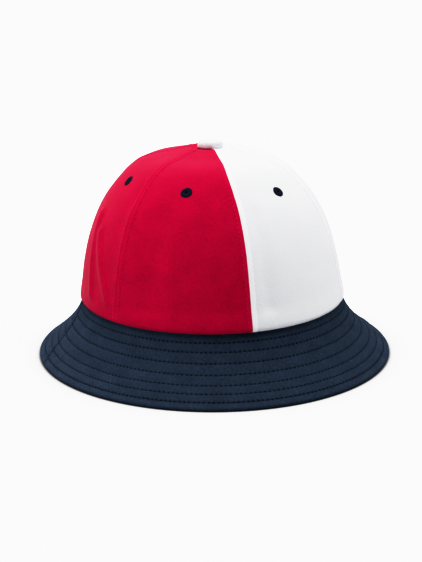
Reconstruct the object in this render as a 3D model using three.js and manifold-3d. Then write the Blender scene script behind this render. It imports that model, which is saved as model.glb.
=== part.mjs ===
// Six-panel bell bucket hat: a domed crown of red and white gores with embroidered
// eyelets and a covered top button, on a two-ply navy brim that flares like a bell.
// Millimetres, +Z up. The origin is the middle of the brim's resting edge, the front
// of the hat looks along -Y, and the wearer's right is -X.
import * as THREE from 'three';
import { mergeVertices } from 'three/addons/utils/BufferGeometryUtils.js';
import Module from 'manifold-3d';

const wasm = await Module();
wasm.setup();

// Crown, measured on the outside of the cloth at the brim seam
const crownLength = 203.9;
const crownWidth = 177.8;
const crownHeight = 101.9;
const crownCloth = 1.3;

// The gores meet a little to the wearer's left of the middle, and the front seam bows
// a few degrees towards the wearer's right about half way in
const tipShift = 2.6;
const seamBow = 1.5;

// Brim: reach in plan beyond the crown at the sides and at the front and back, and the
// drop from the brim seam to the resting edge. Its two side seams run down to the
// widest places of the rim from a few degrees further back, which brimSeamTurn sets.
const brimSideReach = 30.4;
const brimFrontReach = 35.3;
const brimDrop = 39.9;
const brimCloth = 1.3;
const brimTopLean = 7;
const brimRimLean = 56;
const brimTuck = 0.7;
const restingFlat = 0.3;
const turnUpHeight = 8;
const brimSeamTurn = 10;

// Gap kept between sewn pieces
const clearance = 0.3;

// Top button
const buttonDiameter = 17;
const buttonHeight = 4;
const buttonRound = 2.6;
const shankDiameter = 4;
const shankReach = 2.5;

// Vent eyelets
const eyeletDiameter = 8;
const eyeletHole = 2;
const eyeletRise = 0.7;
const eyeletCut = 5;

// Fineness of the faceted surfaces
const panelSteps = 12;
const panelRows = 14;
const brimSteps = 36;
const brimRows = 5;
const rimRows = 3;
const eyeletSides = 12;
const buttonSides = 24;

// Crown profile: height as a share of crownHeight, radius as a share of the crown's base
const crownProfile = [
  { height: 0.000, radius: 1.000 },
  { height: 0.127, radius: 0.984 },
  { height: 0.275, radius: 0.956 },
  { height: 0.423, radius: 0.915 },
  { height: 0.570, radius: 0.850 },
  { height: 0.697, radius: 0.764 },
  { height: 0.804, radius: 0.660 },
  { height: 0.855, radius: 0.600 },
  { height: 0.891, radius: 0.545 },
  { height: 0.923, radius: 0.470 },
  { height: 0.940, radius: 0.400 },
  { height: 0.957, radius: 0.300 },
  { height: 0.980, radius: 0.200 },
  { height: 0.998, radius: 0.100 },
  { height: 1.000, radius: 0.000 },
];

// Gores round the crown: angles in degrees run from the front towards the wearer's
// right. An eyelet is turned a little from its gore's middle line, and its place is
// given as the crown's radius there, as a share of the crown's base.
const red = '#c4062f';
const white = '#f1f1f2';
const navy = '#1d2b40';
const thread = '#131c2e';
const gores = [
  { name: 'red_front', middle: 30, colour: red, eyeletTurn: 0, eyeletRadius: 0.658 },
  { name: 'red_side', middle: 90, colour: red, eyeletTurn: -8.5, eyeletRadius: 0.646 },
  { name: 'red_back', middle: 150, colour: red, eyeletTurn: 0, eyeletRadius: 0.65 },
  { name: 'white_front', middle: -30, colour: white, eyeletTurn: 0, eyeletRadius: 0.694 },
  { name: 'white_side', middle: -90, colour: white, eyeletTurn: 0, eyeletRadius: 0.66 },
  { name: 'white_back', middle: -150, colour: white, eyeletTurn: 0, eyeletRadius: 0.66 },
];
const goreAngle = 360 / gores.length;

// Halves of each brim ply, between the side seams
const brimHalves = [
  { name: 'front', middle: 0, seamTurn: brimSeamTurn },
  { name: 'back', middle: 180, seamTurn: -brimSeamTurn },
];

// Soft folds of the cloth: two points on the crown (angle in degrees, height
// as a share of crownHeight), how far the cloth stands out, and the fold's half width,
// as shares of the crown's mean base radius. A negative rise is a hollow.
const folds = [
  { fromAngle: 88, fromHeight: 0.60, toAngle: 80, toHeight: 0.12, rise: 0.014, halfWidth: 0.055 },
  { fromAngle: 81, fromHeight: 0.50, toAngle: 65, toHeight: 0.18, rise: 0.013, halfWidth: 0.055 },
  { fromAngle: 50, fromHeight: 0.62, toAngle: 53, toHeight: 0.14, rise: -0.010, halfWidth: 0.080 },
  { fromAngle: -7, fromHeight: 0.68, toAngle: -7, toHeight: 0.20, rise: -0.008, halfWidth: 0.070 },
];

const crownMeanRadius = (crownLength + crownWidth) / 4;
const brimThickness = 2 * brimCloth + clearance;
const goreTipRadius = (shankDiameter / 2 + clearance) * crownMeanRadius / (crownWidth / 2);

// How far the crown's middle is moved to the wearer's left, at a share of its base radius
function tipDrift(scale) {
  return tipShift * (1 - scale) ** 4;
}

// A place on the hat: shares of the crown's oval, then a reach outwards, then a height.
// What stands out beyond the crown reaches further at the front and back than at the
// sides, and what lies well inside the crown's base follows the shifted tip.
function place(angle, scale, reach, height) {
  const turn = THREE.MathUtils.degToRad(angle);
  const stretch = reach > 0 ? brimFrontReach / brimSideReach : 1;
  const side = crownWidth / 2 * scale + reach;
  const front = crownLength / 2 * scale + reach * stretch;
  const middle = tipDrift(scale);
  return new THREE.Vector3(middle - side * Math.sin(turn), -front * Math.cos(turn), height);
}

// Crown profile as a smooth curve of (mean radius, height)
const crownCurve = new THREE.SplineCurve(crownProfile.map((row) => new THREE.Vector2(
  row.radius * crownMeanRadius,
  brimDrop + row.height * crownHeight,
)));

function outwardNormal(curve, share) {
  const along = curve.getTangentAt(share);
  return new THREE.Vector2(along.y, -along.x);
}

// Share of the curve's length at which the crown has a given height or a given radius
function shareWhere(curve, reached) {
  let low = 0;
  let high = 1;
  for (let step = 0; step < 40; step += 1) {
    const middle = (low + high) / 2;
    if (reached(curve.getPointAt(middle))) {
      high = middle;
    } else {
      low = middle;
    }
  }
  return (low + high) / 2;
}

// How far the folds move the cloth in or out at a place on the crown. The brim seam
// holds the cloth flat as high as the turned-up allowance stands, and so does the button.
function foldRise(angle, height) {
  const held = turnUpHeight / crownHeight;
  const freeOfBrim = THREE.MathUtils.smoothstep(height, 1.6 * held, 3.2 * held);
  const freeOfButton = 1 - THREE.MathUtils.smoothstep(height, 1 - 1.6 * held, 1 - held / 4);
  const radius = crownMeanRadius;
  const spot = new THREE.Vector2(THREE.MathUtils.degToRad(angle) * radius, height * crownHeight);
  let rise = 0;
  for (const fold of folds) {
    const from = new THREE.Vector2(
      THREE.MathUtils.degToRad(fold.fromAngle) * radius,
      fold.fromHeight * crownHeight,
    );
    const to = new THREE.Vector2(
      THREE.MathUtils.degToRad(fold.toAngle) * radius,
      fold.toHeight * crownHeight,
    );
    const line = to.clone().sub(from);
    const share = spot.clone().sub(from).dot(line) / line.lengthSq();
    const nearest = from.clone().addScaledVector(line, THREE.MathUtils.clamp(share, 0, 1));
    const away = spot.distanceTo(nearest) / (fold.halfWidth * radius);
    rise += fold.rise * radius * Math.exp(-away * away);
  }
  return rise * freeOfBrim * freeOfButton;
}

// Closed body from a row of like rings, with flat caps that the first ring's outline sets
function loft(rings, outline) {
  const count = rings[0].length;
  const positions = rings.flat().flatMap((point) => [point.x, point.y, point.z]);
  const faces = [];
  for (let ring = 0; ring < rings.length - 1; ring += 1) {
    for (let side = 0; side < count; side += 1) {
      const next = (side + 1) % count;
      const a = ring * count + side;
      const b = ring * count + next;
      const c = a + count;
      const d = b + count;
      faces.push([a, b, d], [a, d, c]);
    }
  }
  const last = (rings.length - 1) * count;
  for (const [a, b, c] of THREE.ShapeUtils.triangulateShape(outline, [])) {
    faces.push([c, b, a], [last + a, last + b, last + c]);
  }
  const geometry = new THREE.BufferGeometry();
  geometry.setAttribute('position', new THREE.Float32BufferAttribute(positions, 3));
  geometry.setIndex(faces.flat());
  return geometry;
}

// Rows up a gore, from the brim seam to the crown's tip
const goreTip = shareWhere(crownCurve, (point) => point.x < goreTipRadius);

function goreRow(row) {
  const share = goreTip * row / panelRows;
  const point = crownCurve.getPointAt(share);
  const normal = row === 0 ? new THREE.Vector2(1, 0) : outwardNormal(crownCurve, share);
  return { point, normal };
}

// A corner of a gore's faceted wall: steps across, rows up, and a depth into the cloth
function goreCorner(middle, step, row, depth) {
  const { point, normal } = goreRow(row);
  const seamGap = THREE.MathUtils.radToDeg(Math.asin(clearance / 2 / point.x));
  const halfAngle = goreAngle / 2 - seamGap;
  const angle = middle + halfAngle * (2 * step / panelSteps - 1);
  const scale = point.x / crownMeanRadius;
  const bow = seamBow * Math.exp(-(((scale - 0.55) / 0.15) ** 2));
  const nearSeam = Math.max(1 - Math.abs(angle) / (goreAngle / 2), 0);
  const out = foldRise(angle, (point.y - brimDrop) / crownHeight) - depth;
  return place(angle + bow * nearSeam, scale, out * normal.x, point.y + out * normal.y);
}

// One gore: a wall of cloth from the brim seam to the crown's tip
function goreGeometry(middle) {
  const rows = Array.from({ length: panelRows + 1 }, (unused, row) => row);
  const outer = rows.map((row) => ({ row, depth: 0 }));
  const inner = rows.map((row) => ({ row, depth: crownCloth })).reverse();
  const wall = [...outer, ...inner];
  const outline = wall.map(({ row, depth }) => {
    const { point, normal } = goreRow(row);
    return point.clone().addScaledVector(normal, -depth);
  });
  const rings = [];
  for (let step = 0; step <= panelSteps; step += 1) {
    rings.push(wall.map(({ row, depth }) => goreCorner(middle, step, row, depth)));
  }
  return loft(rings, outline);
}

// Middle line of the upper face of the brim: a curve from the brim seam to the rim
function brimCurve() {
  const topLean = THREE.MathUtils.degToRad(brimTopLean);
  const rimLean = THREE.MathUtils.degToRad(brimRimLean);
  const half = brimThickness / 2;
  const start = new THREE.Vector2(-brimTuck, brimDrop - clearance);
  const end = new THREE.Vector2(
    brimSideReach - half + half * Math.cos(rimLean),
    half - restingFlat + half * Math.sin(rimLean),
  );
  const startWay = new THREE.Vector2(Math.sin(topLean), -Math.cos(topLean));
  const endWay = new THREE.Vector2(Math.sin(rimLean), -Math.cos(rimLean));
  const across = end.clone().sub(start);
  const run = (across.x * endWay.y - across.y * endWay.x)
    / (startWay.x * endWay.y - startWay.y * endWay.x);
  return new THREE.QuadraticBezierCurve(start, start.clone().addScaledVector(startWay, run), end);
}

const brimFace = brimCurve();

// A place in the brim's section, a depth below its upper face
function brimSection(share, depth, beyond = 0) {
  const point = brimFace.getPointAt(share);
  const along = brimFace.getTangentAt(share);
  const normal = new THREE.Vector2(-along.y, along.x);
  if (share === 0) {
    return { share, scale: 1, reach: point.x - depth / normal.x, height: point.y };
  }
  return {
    share,
    scale: 1,
    reach: point.x - depth * normal.x + beyond * along.x,
    height: Math.max(point.y - depth * normal.y + beyond * along.y, 0),
  };
}

function brimFaceRows(depth) {
  const rows = [];
  for (let row = 0; row <= brimRows; row += 1) {
    rows.push(brimSection(row / brimRows, depth));
  }
  return rows;
}

// The rim is round in section: between two depths it bulges beyond the brim's end
function rimRound(fromDepth, toDepth) {
  const half = brimThickness / 2;
  const rows = [];
  for (let row = 0; row <= rimRows; row += 1) {
    const depth = fromDepth + (toDepth - fromDepth) * row / rimRows;
    const beyond = Math.sqrt(Math.max(half * half - (depth - half) ** 2, 0));
    if (beyond > clearance / 2) {
      rows.push(brimSection(1, depth, beyond));
    }
  }
  return rows;
}

// The turned-up seam allowance of the under ply, just inside the crown's cloth
function turnUp(depth) {
  const top = shareWhere(crownCurve, (point) => point.y > brimDrop + turnUpHeight);
  const point = crownCurve.getPointAt(top);
  const normal = outwardNormal(crownCurve, top);
  return {
    share: 0,
    scale: point.x / crownMeanRadius,
    reach: -(crownCloth + clearance + depth) * normal.x,
    height: point.y,
  };
}

function upperPlySection() {
  const inner = brimFaceRows(brimCloth).reverse();
  return [...brimFaceRows(0), ...rimRound(0, brimCloth), ...inner];
}

function underPlySection() {
  const top = brimCloth + clearance;
  const outer = brimFaceRows(top);
  const inner = brimFaceRows(brimThickness).reverse();
  return [turnUp(0), ...outer, ...rimRound(top, brimThickness), ...inner, turnUp(brimCloth)];
}

// Half of a brim ply, from one side seam to the other. seamTurn is how many degrees
// further round its ends reach at the brim seam than at the rim.
function plyGeometry(section, { middle, seamTurn }) {
  const outline = section.map(({ scale, reach, height }) => new THREE.Vector2(
    crownMeanRadius * scale + reach,
    height,
  ));
  const rings = [];
  for (let step = 0; step <= brimSteps; step += 1) {
    rings.push(section.map(({ share, scale, reach, height }) => {
      const radius = crownMeanRadius * scale + reach;
      const seamGap = THREE.MathUtils.radToDeg(Math.asin(clearance / 2 / radius));
      const halfAngle = 90 + seamTurn * (1 - share * share) - seamGap;
      const angle = middle + halfAngle * (2 * step / brimSteps - 1);
      return place(angle, scale, reach, height);
    }));
  }
  const rising = THREE.ShapeUtils.area(outline) > 0;
  if (rising) {
    return loft(rings, outline);
  }
  return loft(rings.map((ring) => [...ring].reverse()), [...outline].reverse());
}

// Covered button: a low drum with a round shoulder, a dished seat and a short shank
function buttonGeometry() {
  const radius = buttonDiameter / 2;
  const seatShare = shareWhere(crownCurve, (point) => point.x < radius);
  const crownTip = brimDrop + crownHeight;
  const crownFall = crownTip - crownCurve.getPointAt(seatShare).y;
  const rimHeight = crownTip - crownFall + clearance;
  const top = crownTip + buttonHeight;
  const profile = [
    new THREE.Vector2(0, crownTip - shankReach),
    new THREE.Vector2(shankDiameter / 2, crownTip - shankReach),
    new THREE.Vector2(shankDiameter / 2, crownTip + clearance),
    new THREE.Vector2(radius - buttonRound / 3, rimHeight + clearance),
    new THREE.Vector2(radius, rimHeight + buttonRound / 2),
    new THREE.Vector2(radius, top - buttonRound),
    new THREE.Vector2(radius - buttonRound * 0.3, top - buttonRound * 0.35),
    new THREE.Vector2(radius - buttonRound, top - buttonRound * 0.08),
    new THREE.Vector2(0, top),
  ];
  const lathe = new THREE.LatheGeometry(profile, buttonSides);
  lathe.rotateX(Math.PI / 2);
  lathe.translate(tipDrift(goreTipRadius / crownMeanRadius), 0, 0);
  return lathe;
}

// Embroidered eyelet: a spool of thread through the cloth, standing proud on both faces
function eyeletGeometry() {
  const outer = eyeletDiameter / 2;
  const hole = eyeletHole / 2;
  const barrel = eyeletCut / 2 - clearance;
  const over = clearance;
  const under = -crownCloth - 2 * clearance;
  const profile = [
    new THREE.Vector2(hole, under),
    new THREE.Vector2((hole + outer) / 2, under - eyeletRise),
    new THREE.Vector2(outer, under),
    new THREE.Vector2(barrel, under),
    new THREE.Vector2(barrel, over),
    new THREE.Vector2(outer, over),
    new THREE.Vector2((hole + outer) / 2, over + eyeletRise),
    new THREE.Vector2(hole, over),
    new THREE.Vector2(hole, under),
  ];
  const lathe = new THREE.LatheGeometry(profile, eyeletSides);
  lathe.rotateX(Math.PI / 2);
  return lathe;
}

// Where an eyelet sits: its place on a facet of the gore and the turn that points +Z
// straight out of that facet
function eyeletSeat({ middle, eyeletTurn, eyeletRadius }) {
  const share = shareWhere(crownCurve, (point) => point.x < eyeletRadius * crownMeanRadius);
  const row = share / goreTip * panelRows;
  const step = (eyeletTurn / goreAngle + 0.5) * panelSteps;
  const firstRow = Math.floor(row);
  const firstStep = Math.min(Math.floor(step), panelSteps - 1);
  const corner = (right, up) => goreCorner(middle, firstStep + right, firstRow + up, 0);
  const low = corner(0, 0).lerp(corner(1, 0), step - firstStep);
  const high = corner(0, 1).lerp(corner(1, 1), step - firstStep);
  const across = corner(1, 0).sub(corner(0, 0)).add(corner(1, 1)).sub(corner(0, 1));
  const out = across.cross(high.clone().sub(low)).normalize();
  if (out.z < 0) {
    out.negate();
  }
  const centre = low.lerp(high, row - firstRow);
  const turn = new THREE.Quaternion().setFromUnitVectors(new THREE.Vector3(0, 0, 1), out);
  return { centre, turn };
}

function toManifold(geometry) {
  const bare = new THREE.BufferGeometry();
  bare.setAttribute('position', geometry.getAttribute('position').clone());
  bare.setIndex(geometry.getIndex());
  const merged = mergeVertices(bare, 1e-4);
  return new wasm.Manifold(new wasm.Mesh({
    numProp: 3,
    vertProperties: new Float32Array(merged.getAttribute('position').array),
    triVerts: new Uint32Array(merged.getIndex().array),
  }));
}

function fromManifold(solid) {
  const mesh = solid.getMesh();
  const geometry = new THREE.BufferGeometry();
  geometry.setAttribute('position', new THREE.BufferAttribute(mesh.vertProperties, 3));
  geometry.setIndex(new THREE.BufferAttribute(mesh.triVerts, 1));
  return geometry;
}

// The gore with the round hole that its eyelet is sewn through
function piercedGore(gore) {
  const { centre, turn } = eyeletSeat(gore);
  const punch = new THREE.CylinderGeometry(eyeletCut / 2, eyeletCut / 2, 4 * crownCloth, eyeletSides);
  punch.rotateX(Math.PI / 2);
  punch.applyQuaternion(turn);
  punch.translate(centre.x, centre.y, centre.z);
  return fromManifold(toManifold(goreGeometry(gore.middle)).subtract(toManifold(punch)));
}

function cloth(name, geometry, colour, roughness) {
  const material = new THREE.MeshStandardMaterial({ color: colour, roughness, metalness: 0 });
  const mesh = new THREE.Mesh(geometry, material);
  mesh.name = name;
  return mesh;
}

const hat = new THREE.Group();

for (const gore of gores) {
  hat.add(cloth(`crown_${gore.name}`, piercedGore(gore), gore.colour, 0.85));
  const eyelet = cloth(`eyelet_${gore.name}`, eyeletGeometry(), thread, 0.7);
  const { centre, turn } = eyeletSeat(gore);
  eyelet.position.copy(centre);
  eyelet.quaternion.copy(turn);
  hat.add(eyelet);
}

for (const half of brimHalves) {
  hat.add(cloth(`brim_upper_${half.name}`, plyGeometry(upperPlySection(), half), navy, 0.9));
  hat.add(cloth(`brim_under_${half.name}`, plyGeometry(underPlySection(), half), navy, 0.9));
}

hat.add(cloth('top_button', buttonGeometry(), white, 0.85));

export default hat;
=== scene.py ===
"""Looks of the six-panel bell bucket hat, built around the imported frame.

Sizes are in millimetres, as in the part's source, and HatForm.place turns them into
metres. Angles are in degrees and run from the front of the hat towards the wearer's
right. A distance up the crown or down the brim is measured along the cloth.
"""

import logging
import math
from collections.abc import Callable, Iterable
from dataclasses import dataclass, field
from enum import Enum
from functools import cached_property, lru_cache, partial
from typing import NamedTuple

import bmesh
import bpy
import numpy as np
from mathutils import Matrix, Vector, noise


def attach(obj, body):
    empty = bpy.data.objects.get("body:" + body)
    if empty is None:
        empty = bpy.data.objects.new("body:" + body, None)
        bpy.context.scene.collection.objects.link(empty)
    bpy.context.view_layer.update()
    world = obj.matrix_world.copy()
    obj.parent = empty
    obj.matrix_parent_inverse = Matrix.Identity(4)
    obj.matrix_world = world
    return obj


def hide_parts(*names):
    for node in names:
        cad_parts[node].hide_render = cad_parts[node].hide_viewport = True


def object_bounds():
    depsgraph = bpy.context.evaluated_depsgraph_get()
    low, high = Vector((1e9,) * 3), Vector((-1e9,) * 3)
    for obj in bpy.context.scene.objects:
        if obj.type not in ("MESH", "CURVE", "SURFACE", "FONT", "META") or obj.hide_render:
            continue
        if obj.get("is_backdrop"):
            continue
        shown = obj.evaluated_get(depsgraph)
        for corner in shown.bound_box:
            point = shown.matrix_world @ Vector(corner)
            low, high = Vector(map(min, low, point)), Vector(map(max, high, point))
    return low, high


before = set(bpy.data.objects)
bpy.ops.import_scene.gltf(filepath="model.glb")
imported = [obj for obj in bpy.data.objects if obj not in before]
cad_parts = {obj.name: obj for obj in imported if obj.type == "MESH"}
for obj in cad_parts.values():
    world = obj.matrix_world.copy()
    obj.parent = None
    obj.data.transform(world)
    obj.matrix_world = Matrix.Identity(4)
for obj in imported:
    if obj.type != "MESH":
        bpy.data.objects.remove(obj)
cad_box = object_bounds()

MM = 0.001
BODY = "root"
WEAVE_MAP = "weave"
STITCH_MAP = "stitching"
# Millimetres from a side seam where it no longer shapes the cloth
FAR = 99.0
# Degrees from a gore's middle line to its seams
HALF_GORE = 30.0
# Place in the stitching map that lies far from any row
NO_STITCHES = (0.5, 9.0)
# Radius, in millimetres, at which slow unevenness is measured round the hat
ROUND = 95.0
# How full the cloth is between a seam and a row, or between two rows: 1 is a sine's arch
FULLNESS = 0.6
Socket = bpy.types.NodeSocket
Triple = tuple[float, float, float]
log = logging.getLogger("bucket_hat")


class Ply(Enum):
    """The two layers of cloth that the brim is made of."""

    UPPER = "upper"
    UNDER = "under"

    @property
    def side(self) -> int:
        """1 for the upper ply, which looks up, and -1 for the under ply."""
        return 1 if self is Ply.UPPER else -1


class Colour(Enum):
    """The colours of cloth and thread, as scene-linear red, green and blue."""

    CRIMSON = (0.490, 0.0012, 0.058)
    CRIMSON_THREAD = (0.620, 0.014, 0.110)
    WHITE = (0.850, 0.854, 0.884)
    BUTTON_WHITE = (0.780, 0.785, 0.805)
    NAVY = (0.0385, 0.0570, 0.0885)
    NAVY_THREAD = (0.0320, 0.0475, 0.0760)
    NAVY_EMBROIDERY = (0.0130, 0.0170, 0.0340)


def smoothstep(value: float, low: float, high: float) -> float:
    """Eases from 0 at low to 1 at high.

    Args:
        value: Where to read the step.
        low: Where it leaves 0.
        high: Where it reaches 1.

    Returns:
        The eased share.
    """
    share = min(max((value - low) / (high - low), 0.0), 1.0)
    return share * share * (3.0 - 2.0 * share)


def hollow(distance: float, half_width: float) -> float:
    """A bell of height 1 at distance 0, which has faded at twice its half width."""
    return math.exp(-((distance / half_width) ** 2))


def pillow(share: float, fullness: float = 0.75) -> float:
    """A cushion of height 1 between shares 0 and 1, and nothing outside them."""
    return math.sin(math.pi * share) ** fullness if 0.0 < share < 1.0 else 0.0


def settled(name: str, mesh: bmesh.types.BMesh) -> bpy.types.Mesh:
    """Turns a working mesh, which is freed, into mesh data."""
    data = bpy.data.meshes.new(name)
    mesh.to_mesh(data)
    mesh.free()
    return data


def placed(name: str, data: bpy.types.ID) -> bpy.types.Object:
    """Makes an object of its data and puts it into the scene."""
    made = bpy.data.objects.new(name, data)
    bpy.context.scene.collection.objects.link(made)
    return made


def spun(rows: list[tuple[float, float]], steps: int, closed: bool) -> bmesh.types.BMesh:
    """Spins a section round the Z axis.

    Args:
        rows: Reach and height of the section's corners, in millimetres.
        steps: Steps of the full turn.
        closed: Whether the last corner joins the first one.

    Returns:
        The spun surface, as a working mesh.
    """
    mesh = bmesh.new()
    corners = [mesh.verts.new(Vector((reach, 0.0, height)) * MM) for reach, height in rows]
    nexts = corners[1:] + corners[:1] if closed else corners[1:]
    edges = [mesh.edges.new(pair) for pair in zip(corners, nexts, strict=False)]
    bmesh.ops.spin(
        mesh, geom=corners + edges, cent=(0, 0, 0), axis=(0, 0, 1),
        angle=math.tau, steps=steps, use_merge=True,
    )
    return mesh


class Section(NamedTuple):
    """A point of a section line, with the direction straight out of the cloth."""

    reach: float
    height: float
    out_reach: float
    out_height: float


class SectionCurve:
    """A smooth section line that is read by the distance along it."""

    def __init__(self, points: np.ndarray) -> None:
        """Measures the line.

        Args:
            points: Close rows of reach and height along the line, in millimetres.
        """
        self.points = points
        steps = np.hypot(*np.diff(points, axis=0).T)
        self.run = np.concatenate([[0.0], np.cumsum(steps)])
        self.length = float(self.run[-1])

    def spot(self, distance: float) -> np.ndarray:
        """Reach and height at a distance along the line."""
        return np.array([np.interp(distance, self.run, axis) for axis in self.points.T])

    @lru_cache(maxsize=4096)
    def at(self, distance: float) -> Section:
        """The line's point and its outward direction at a distance.

        Args:
            distance: Millimetres from the line's start.

        Returns:
            The point, with the direction to the right hand of the line's way.
        """
        near = 0.4
        point = self.spot(distance)
        along = self.spot(min(distance + near, self.length)) - self.spot(max(distance - near, 0.0))
        along /= np.hypot(*along)
        return Section(float(point[0]), float(point[1]), float(along[1]), float(-along[0]))

    @lru_cache(maxsize=64)
    def where_reach_falls_to(self, reach: float) -> float:
        """The distance at which a line that runs inwards has come in to a reach."""
        return float(self.run[np.argmax(self.points[:, 0] < reach)])


class ProfileRow(NamedTuple):
    """A row of the crown's profile, as shares of its height and its base radius."""

    height: float
    radius: float


class Fold(NamedTuple):
    """A soft fold between two places of the crown, standing out or, below 0, in."""

    from_angle: float
    from_height: float
    to_angle: float
    to_height: float
    rise: float
    half_width: float


@dataclass(frozen=True)
class HatForm:
    """The hat's form: the oval that the head sets, the crown above it and the brim.

    Attributes:
        crown_length: Length of the crown's base, front to back.
        crown_width: Width of the crown's base.
        crown_height: Height of the crown above the brim seam.
        crown_cloth: Thickness of the crown's cloth.
        tip_shift: How far the gores meet to the wearer's left of the middle.
        seam_bow: Degrees that the front seam bows, where bow_radius and bow_width say.
        bow_radius: The crown's radius where the bow is greatest, as a share of its base.
        bow_width: Half width of the bow, as a share of the base.
        tip_radius: Radius at which the gores end round the button's shank.
        brim_side_reach: The brim's reach in plan at the sides.
        brim_front_reach: The same at the front and back.
        brim_drop: Height of the brim seam above the resting edge.
        brim_cloth: Thickness of a ply.
        brim_top_lean: Degrees that the brim leans out at the brim seam.
        brim_rim_lean: The same at the rim.
        brim_tuck: How far the brim's top edge lies inside the crown's base.
        resting_flat: How much of the rim's round is flattened where it rests.
        turn_up_height: Height of the under ply's allowance inside the crown.
        clearance: Gap between the sewn solids.
        profile: The crown's profile.
        folds: Soft folds, with rise and half width as shares of the mean radius.
    """

    crown_length: float = 203.9
    crown_width: float = 177.8
    crown_height: float = 101.9
    crown_cloth: float = 1.3
    tip_shift: float = 2.6
    seam_bow: float = 1.5
    bow_radius: float = 0.55
    bow_width: float = 0.15
    tip_radius: float = 2.45
    brim_side_reach: float = 30.4
    brim_front_reach: float = 35.3
    brim_drop: float = 39.9
    brim_cloth: float = 1.3
    brim_top_lean: float = 7.0
    brim_rim_lean: float = 56.0
    brim_tuck: float = 0.7
    resting_flat: float = 0.3
    turn_up_height: float = 8.0
    clearance: float = 0.3
    profile: tuple[ProfileRow, ...] = (
        ProfileRow(0.000, 1.000),
        ProfileRow(0.127, 0.984),
        ProfileRow(0.275, 0.956),
        ProfileRow(0.423, 0.915),
        ProfileRow(0.570, 0.850),
        ProfileRow(0.697, 0.764),
        ProfileRow(0.804, 0.660),
        ProfileRow(0.855, 0.600),
        ProfileRow(0.891, 0.545),
        ProfileRow(0.923, 0.470),
        ProfileRow(0.940, 0.400),
        ProfileRow(0.957, 0.300),
        ProfileRow(0.980, 0.200),
        ProfileRow(0.998, 0.100),
        ProfileRow(1.000, 0.000),
    )
    folds: tuple[Fold, ...] = (
        Fold(88, 0.60, 80, 0.08, 0.017, 0.040),
        Fold(81, 0.50, 66, 0.10, 0.016, 0.040),
        Fold(61, 0.66, 61, 0.06, 0.009, 0.050),
        Fold(42, 0.60, 45, 0.06, -0.022, 0.130),
        Fold(24, 0.40, 12, 0.16, -0.006, 0.110),
        Fold(-8, 0.68, -8, 0.14, -0.013, 0.060),
    )

    @property
    def mean_radius(self) -> float:
        """Mean radius of the crown's base."""
        return (self.crown_length + self.crown_width) / 4

    @property
    def brim_thickness(self) -> float:
        """Thickness of the two plies with the gap between them."""
        return 2 * self.brim_cloth + self.clearance

    @property
    def tip_height(self) -> float:
        """Height of the crown's tip above the resting edge."""
        return self.brim_drop + self.crown_height

    def middle(self, scale: float) -> float:
        """How far the crown's middle lies to the wearer's left, at a share of its oval."""
        return self.tip_shift * (1 - scale) ** 4

    @cached_property
    def crown_curve(self) -> SectionCurve:
        """The crown's profile, from the brim seam to the tip."""
        rows = np.array([
            (row.radius * self.mean_radius, self.brim_drop + row.height * self.crown_height)
            for row in self.profile
        ])
        ends = np.vstack([rows[:1], rows, rows[-1:]])
        share = np.linspace(0, 1, 24, endpoint=False)[:, None]
        spans = []
        for before, start, end, after in zip(ends, ends[1:], ends[2:], ends[3:], strict=False):
            leave, arrive = (end - before) / 2, (after - start) / 2
            spans.append(
                start
                + leave * share
                + (3 * (end - start) - 2 * leave - arrive) * share**2
                + (2 * (start - end) + leave + arrive) * share**3
            )
        return SectionCurve(np.vstack([*spans, rows[-1:]]))

    @cached_property
    def brim_curve(self) -> SectionCurve:
        """The brim's upper face in section, from the brim seam to the rim."""
        half = self.brim_thickness / 2
        top, rim = math.radians(self.brim_top_lean), math.radians(self.brim_rim_lean)
        start = np.array([-self.brim_tuck, self.brim_drop - self.clearance])
        end = np.array([
            self.brim_side_reach - half + half * math.cos(rim),
            half - self.resting_flat + half * math.sin(rim),
        ])
        leave = np.array([math.sin(top), -math.cos(top)])
        arrive = np.array([math.sin(rim), -math.cos(rim)])
        across = end - start
        run = (across[0] * arrive[1] - across[1] * arrive[0]) / (leave[0] * arrive[1] - leave[1] * arrive[0])
        bend = start + leave * run
        share = np.linspace(0, 1, 400)[:, None]
        return SectionCurve(start * (1 - share) ** 2 + 2 * bend * share * (1 - share) + end * share**2)

    def place(self, angle: float, scale: float, reach: float, height: float) -> Vector:
        """A place on the hat, in metres.

        Args:
            angle: Degrees from the front towards the wearer's right.
            scale: Share of the crown's oval.
            reach: Millimetres outwards from there, more at the front than at the sides.
            height: Millimetres above the resting edge.

        Returns:
            The point in the part's frame.
        """
        turn = math.radians(angle)
        stretch = self.brim_front_reach / self.brim_side_reach if reach > 0 else 1.0
        side = self.crown_width / 2 * scale + reach
        front = self.crown_length / 2 * scale + reach * stretch
        return Vector((self.middle(scale) - side * math.sin(turn), -front * math.cos(turn), height)) * MM

    def fold_rise(self, angle: float, height: float) -> float:
        """How far the folds lift the crown's cloth.

        Args:
            angle: Degrees round the crown.
            height: Share of the crown's height.

        Returns:
            Millimetres outwards.
        """
        held = self.turn_up_height / self.crown_height
        above = smoothstep(height, 0.6 * held, 1.5 * held)
        free = above * (1 - smoothstep(height, 1 - 1.6 * held, 1 - held / 4))
        if free == 0.0:
            return 0.0
        radius = self.mean_radius

        def flat(turn: float, share: float) -> Vector:
            """A place on the crown unrolled flat, in millimetres."""
            return Vector((math.radians(turn) * radius, share * self.crown_height))

        spot = flat(angle, height)
        rise = 0.0
        for fold in self.folds:
            start = flat(fold.from_angle, fold.from_height)
            line = flat(fold.to_angle, fold.to_height) - start
            share = min(max((spot - start).dot(line) / line.length_squared, 0.0), 1.0)
            rise += fold.rise * hollow((spot - start - line * share).length, fold.half_width * radius)
        return rise * radius * free

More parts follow.
